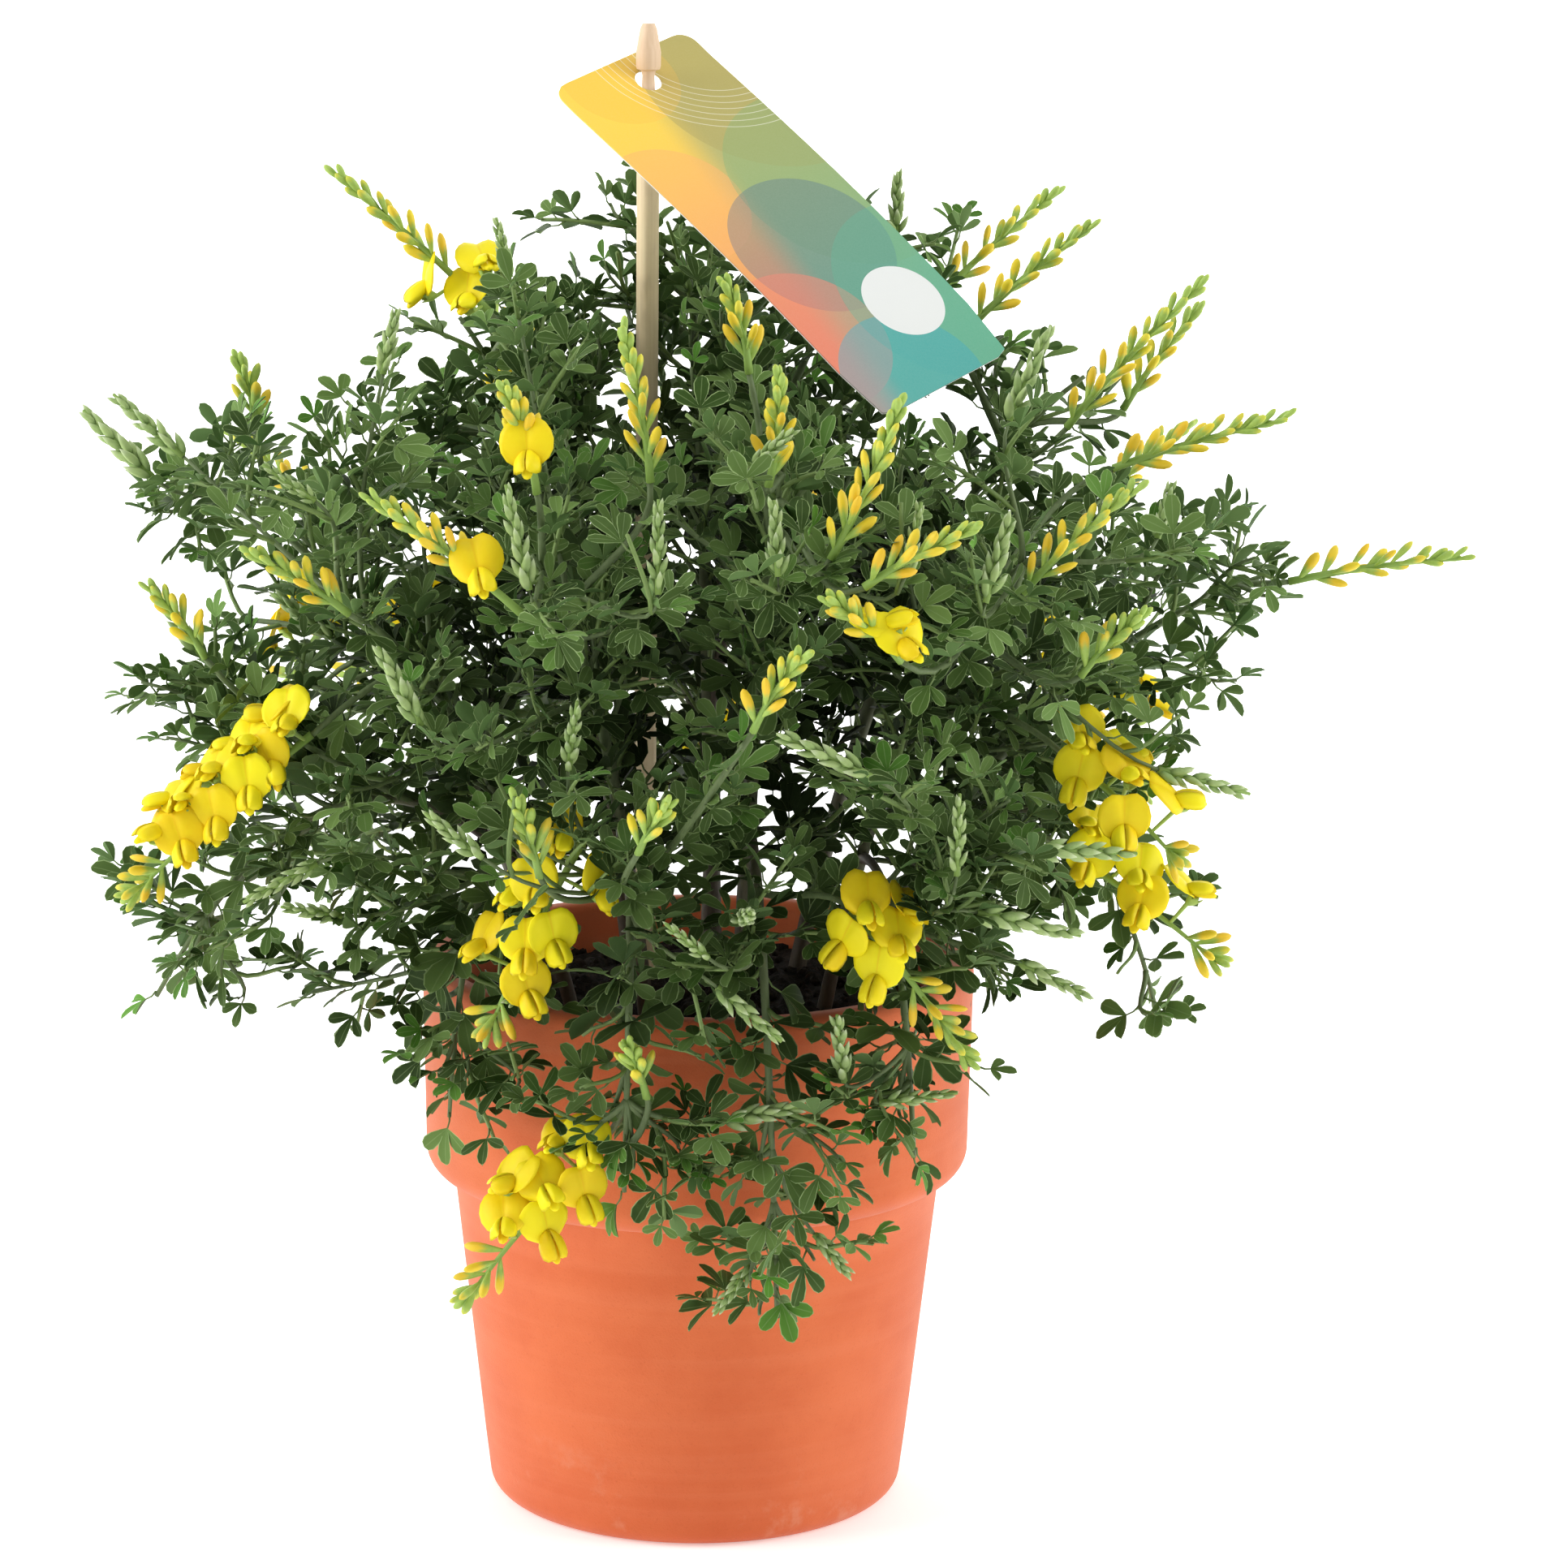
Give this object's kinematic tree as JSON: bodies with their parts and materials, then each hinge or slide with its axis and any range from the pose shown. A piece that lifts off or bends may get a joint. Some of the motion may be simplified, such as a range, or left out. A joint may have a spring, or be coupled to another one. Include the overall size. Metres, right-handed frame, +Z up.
{
  "type": "potted broom shrub",
  "caption": "Broom shrub in a round clay pot: arching green stems with small three-part leaves, sprays of yellow pea flowers and buds, and a picture card on a stick.",
  "frame": {"origin": "on the surface that the pot stands on, under the middle of the whole plant's box; the pot's axis stands at x -0.0194 m, y -0.0016 m", "axes": "+Z up along the pot's axis, -Y towards the viewer of the picture, +X to their right"},
  "size_m": [0.3122, 0.268, 0.347],
  "materials": {
    "clay": "matt unglazed terracotta with fine specks and pale scuffs",
    "soil": "dark crumbly potting mix",
    "bamboo": "dull split bamboo with a paler carved head",
    "card": "printed card with a slight sheen",
    "foliage": "dark green leaves with thin pale margins on grey-green stems",
    "petals": "soft bright yellow petals",
    "buds": "matt yellow-green buds in green cups"
  },
  "bodies": {
    "root": {"pot": "clay", "soil": "soil", "label_stick": "bamboo", "label_card": "card", "stem_back": "foliage", "stem_back_right": "foliage", "stem_centre": "foliage", "stem_front_left": "foliage", "stem_front_right": "foliage", "stem_left": "foliage", "stem_left_back": "foliage", "stem_left_front": "foliage", "stem_right": "foliage", "stem_right_front": "foliage", "flowers_back_left": "petals", "flowers_back_low": "petals", "flowers_back_right": "petals", "flowers_back_upper_left": "petals", "flowers_back_upper_right": "petals", "flowers_front_left": "petals", "flowers_front_right": "petals", "flowers_front_upper": "petals", "flowers_hanging": "petals", "flowers_left": "petals", "flowers_over_rim_left": "petals", "flowers_over_rim_right": "petals", "flowers_right_lower": "petals", "flowers_right_upper": "petals", "flowers_side_left": "petals", "flowers_side_right": "petals", "flowers_top_left": "petals", "buds_back_left": "buds", "buds_back_low_left": "buds", "buds_back_middle": "buds", "buds_back_right": "buds", "buds_back_top": "buds", "buds_far_right": "buds", "buds_front_high": "buds", "buds_front_small": "buds", "buds_left_front": "buds", "buds_left_low": "buds", "buds_left_side": "buds", "buds_middle_low": "buds", "buds_over_rim": "buds", "buds_right_front": "buds", "buds_right_level": "buds", "buds_right_side": "buds", "buds_right_slim": "buds", "buds_right_tall": "buds", "buds_top_front": "buds", "buds_top_left": "buds", "buds_top_right": "buds", "buds_top_right_front": "buds", "buds_under_card": "buds", "buds_upper_middle": "buds", "buds_upper_stick": "buds"}
  },
  "joints": []
}
